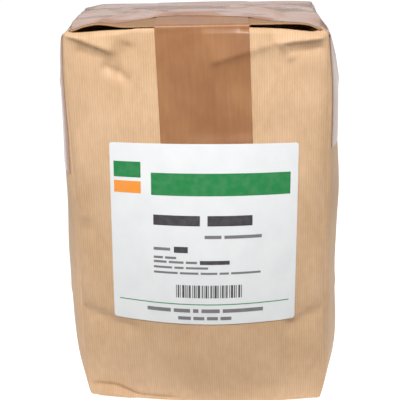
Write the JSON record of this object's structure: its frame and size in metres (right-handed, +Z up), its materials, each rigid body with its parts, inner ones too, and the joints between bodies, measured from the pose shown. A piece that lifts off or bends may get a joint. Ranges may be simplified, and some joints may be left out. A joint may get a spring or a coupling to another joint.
{
  "type": "kraft paper packet of dried bladderwrack",
  "caption": "Sealed block-bottom kraft paper packet, full of dried bladderwrack, its top folded flat and taped both ways, with a square label on the front",
  "frame": {"origin": "bottom centre of the whole packet's bounding box, on the surface it stands on", "axes": "+Z is up along the packet's height, its longest side; the front with the label faces -Y; +X is to the right of someone who looks at the front"},
  "size_m": [0.1626, 0.1216, 0.2218],
  "materials": {
    "kraft_paper": "brown ribbed kraft paper, matt with a faint sheen",
    "dried_weed": "dark olive brown dried seaweed, packed loose",
    "brown_tape": "glossy packing tape over kraft paper, warm brown",
    "clear_tape": "glossy packing tape over kraft paper, greyish pink",
    "label_paper": null
  },
  "bodies": {
    "root": {"paper_bag": "kraft_paper", "dried_bladderwrack_fill": "dried_weed", "tape_front_back": "brown_tape", "tape_side_to_side": "clear_tape", "label": "label_paper"}
  },
  "joints": []
}
